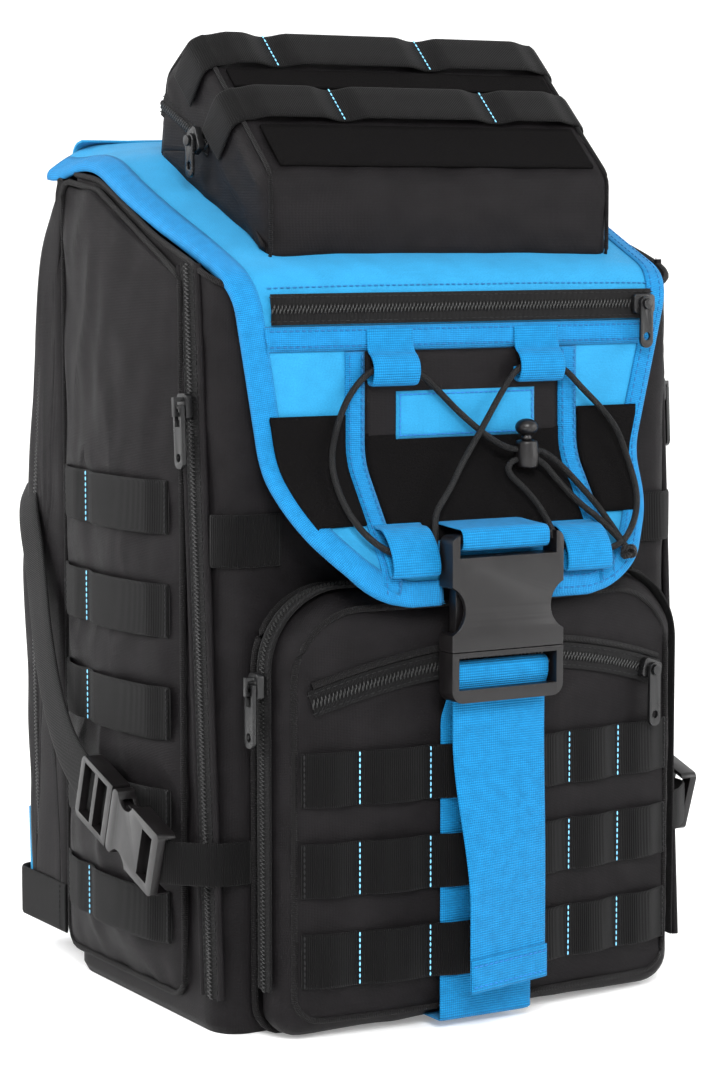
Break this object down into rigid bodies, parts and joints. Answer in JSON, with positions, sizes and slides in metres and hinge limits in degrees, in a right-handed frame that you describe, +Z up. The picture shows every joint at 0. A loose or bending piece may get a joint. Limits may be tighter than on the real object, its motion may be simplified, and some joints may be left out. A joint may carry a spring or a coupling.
{
  "type": "trauma backpack",
  "caption": "Black and blue soft rescue backpack with a flap lid, top pouch, front pocket, webbing rows and buckles.",
  "frame": {"origin": "under the middle of the pack, on the floor it stands on", "axes": "+Z up; the front pocket and lid face -Y; the shoulder straps are at +Y"},
  "size_m": [0.303, 0.307, 0.46],
  "materials": {
    "black_nylon": "matte",
    "blue_nylon": "matte",
    "blue_webbing": "matte",
    "blue_label": "satin",
    "black_webbing": "matte",
    "black_cloth_panel": "matte",
    "padding_mesh": "matte",
    "stiffener": "matte",
    "zip_tape": "matte",
    "black_plastic": "satin",
    "zip_metal": "satin",
    "elastic": "matte"
  },
  "bodies": {
    "pack": {"back_pads": "padding_mesh", "closing_strap": "blue_webbing", "compression_straps": "black_webbing", "face_zip_tape": "zip_tape", "front_buckle_plug": "black_plastic", "front_pocket": "black_nylon", "front_webbing_rows": "black_webbing", "harness_webbing": "black_webbing", "lid_hinge_fabric": "blue_nylon", "main_shell": "black_nylon", "pocket_zip_tape": "zip_tape", "rear_compartment": "black_nylon", "rear_zip_tapes": "zip_tape", "shoulder_pads": "padding_mesh", "side_buckle_plugs": "black_plastic", "side_buckle_sockets": "black_plastic", "side_panels": "black_nylon", "side_webbing_rows": "black_webbing", "side_zip_tapes": "zip_tape", "sternum_buckle": "black_plastic", "stiffener_boards": "stiffener", "strap_adjusters": "black_plastic", "strap_anchors": "black_webbing"},
    "lid": {"lid_panel": "blue_nylon", "lid_bindings": "blue_webbing", "lid_zip_tape": "zip_tape", "lid_band": "blue_webbing", "lid_centre_panel": "black_cloth_panel", "lid_side_strips": "black_cloth_panel", "lid_label": "blue_label", "cord_loops": "blue_webbing", "elastic_cord": "elastic", "cord_knot": "elastic", "cord_lock_body": "black_plastic", "top_pouch": "black_nylon", "pouch_webbing_rows": "black_webbing", "pouch_loop_strips": "black_cloth_panel", "pouch_zip_tape": "zip_tape", "front_buckle_socket": "black_plastic", "buckle_socket_loop": "blue_webbing"},
    "haul_handle": {"haul_handle": "black_nylon"},
    "front_buckle_arm_left": {"front_buckle_arm_left": "black_plastic"},
    "front_buckle_arm_right": {"front_buckle_arm_right": "black_plastic"},
    "cord_lock_button": {"cord_lock_button": "black_plastic"},
    "side_buckle_upper_arm_left": {"side_buckle_upper_arm_left": "black_plastic"},
    "side_buckle_upper_arm_right": {"side_buckle_upper_arm_right": "black_plastic"},
    "side_buckle_lower_arm_left": {"side_buckle_lower_arm_left": "black_plastic"},
    "side_buckle_lower_arm_right": {"side_buckle_lower_arm_right": "black_plastic"},
    "side_zip_slider_left": {"side_zip_slider_left": "zip_metal"},
    "side_zip_slider_right": {"side_zip_slider_right": "zip_metal"},
    "side_zip_pull_left": {"side_zip_pull_left": "zip_metal"},
    "side_zip_pull_right": {"side_zip_pull_right": "zip_metal"},
    "pocket_zip_slider": {"pocket_zip_slider": "zip_metal"},
    "pocket_zip_pull": {"pocket_zip_pull": "zip_metal"},
    "face_zip_slider": {"face_zip_slider": "zip_metal"},
    "face_zip_pull": {"face_zip_pull": "zip_metal"},
    "lid_zip_slider": {"lid_zip_slider": "zip_metal"},
    "lid_zip_pull": {"lid_zip_pull": "zip_metal"},
    "pouch_zip_slider": {"pouch_zip_slider": "zip_metal"},
    "pouch_zip_pull": {"pouch_zip_pull": "zip_metal"}
  },
  "joints": [
    {"name": "lid_hinge", "type": "hinge", "parent": "pack", "child": "lid", "pos_m": [0, 0.0855, 0.406], "axis": [-1, 0, 0], "range_deg": [0, 110]},
    {"name": "haul_handle_swing", "type": "hinge", "parent": "pack", "child": "haul_handle", "pos_m": [0, 0.1025, 0.365], "axis": [1, 0, 0], "range_deg": [0, 95]},
    {"name": "front_buckle_squeeze_left", "type": "hinge", "parent": "pack", "child": "front_buckle_arm_left", "pos_m": [-0.029, -0.14625, 0.179], "axis": [0, 1, 0], "range_deg": [0, 6]},
    {"name": "front_buckle_squeeze_right", "type": "hinge", "parent": "pack", "child": "front_buckle_arm_right", "pos_m": [0.013, -0.14625, 0.179], "axis": [0, -1, 0], "range_deg": [0, 6]},
    {"name": "side_buckle_squeeze_upper_left", "type": "hinge", "parent": "pack", "child": "side_buckle_upper_arm_left", "pos_m": [-0.147, -0.03578, 0.1032], "axis": [1, 0, 0], "range_deg": [0, 6]},
    {"name": "side_buckle_squeeze_upper_right", "type": "hinge", "parent": "pack", "child": "side_buckle_upper_arm_right", "pos_m": [0.147, -0.03578, 0.1032], "axis": [1, 0, 0], "range_deg": [0, 6]},
    {"name": "side_buckle_squeeze_lower_left", "type": "hinge", "parent": "pack", "child": "side_buckle_lower_arm_left", "pos_m": [-0.147, -0.02991, 0.08513], "axis": [-1, 0, 0], "range_deg": [0, 6]},
    {"name": "side_buckle_squeeze_lower_right", "type": "hinge", "parent": "pack", "child": "side_buckle_lower_arm_right", "pos_m": [0.147, -0.02991, 0.08513], "axis": [-1, 0, 0], "range_deg": [0, 6]},
    {"name": "cord_lock_press", "type": "slide", "parent": "lid", "child": "cord_lock_button", "axis": [0, 0, -1], "range_m": [0, 0.0024]},
    {"name": "side_zip_run_left", "type": "slide", "parent": "pack", "child": "side_zip_slider_left", "axis": [0, -0.0598, -0.9982], "range_m": [-0.052, 0.16]},
    {"name": "side_zip_pull_swing_left", "type": "hinge", "parent": "side_zip_slider_left", "child": "side_zip_pull_left", "pos_m": [-0.1348, -0.0743, 0.288], "axis": [0, 0.9982, -0.0598], "range_deg": [0, 110]},
    {"name": "side_zip_run_right", "type": "slide", "parent": "pack", "child": "side_zip_slider_right", "axis": [0, -0.0598, -0.9982], "range_m": [-0.052, 0.16]},
    {"name": "side_zip_pull_swing_right", "type": "hinge", "parent": "side_zip_slider_right", "child": "side_zip_pull_right", "pos_m": [0.1348, -0.0743, 0.288], "axis": [0, -0.9982, 0.0598], "range_deg": [0, 110]},
    {"name": "pocket_zip_run", "type": "slide", "parent": "pack", "child": "pocket_zip_slider", "axis": [0, 0, -1], "range_m": [0, 0.1]},
    {"name": "pocket_zip_pull_swing", "type": "hinge", "parent": "pocket_zip_slider", "child": "pocket_zip_pull", "pos_m": [-0.1188, -0.1115, 0.164], "axis": [0, 1, 0], "range_deg": [0, 110]},
    {"name": "face_zip_run", "type": "hinge", "parent": "pack", "child": "face_zip_slider", "pos_m": [0, -0.0113, -0.05296], "axis": [0, -0.8771, -0.4803], "range_deg": [0, 13]},
    {"name": "face_zip_pull_swing", "type": "hinge", "parent": "face_zip_slider", "child": "face_zip_pull", "pos_m": [0.08726, -0.13486, 0.15898], "axis": [0.1656, -0.9862, 0], "range_deg": [-60, 60]},
    {"name": "lid_zip_run", "type": "slide", "parent": "lid", "child": "lid_zip_slider", "axis": [-1, 0, 0], "range_m": [0, 0.19]},
    {"name": "lid_zip_pull_swing", "type": "hinge", "parent": "lid_zip_slider", "child": "lid_zip_pull", "pos_m": [0.097, -0.112, 0.332], "axis": [0, -1, 0], "range_deg": [-60, 60]},
    {"name": "pouch_zip_run", "type": "slide", "parent": "lid", "child": "pouch_zip_slider", "axis": [0, 0.913, 0.4079], "range_m": [0, 0.036]},
    {"name": "pouch_zip_pull_swing", "type": "hinge", "parent": "pouch_zip_slider", "child": "pouch_zip_pull", "pos_m": [-0.1026, -0.0245, 0.4087], "axis": [-1, 0, 0], "range_deg": [-60, 60]}
  ],
  "couplings": [
    {"joint": "front_buckle_squeeze_right", "follows": "front_buckle_squeeze_left", "ratio": 1},
    {"joint": "side_buckle_squeeze_lower_left", "follows": "side_buckle_squeeze_upper_left", "ratio": 1},
    {"joint": "side_buckle_squeeze_lower_right", "follows": "side_buckle_squeeze_upper_right", "ratio": 1}
  ]
}
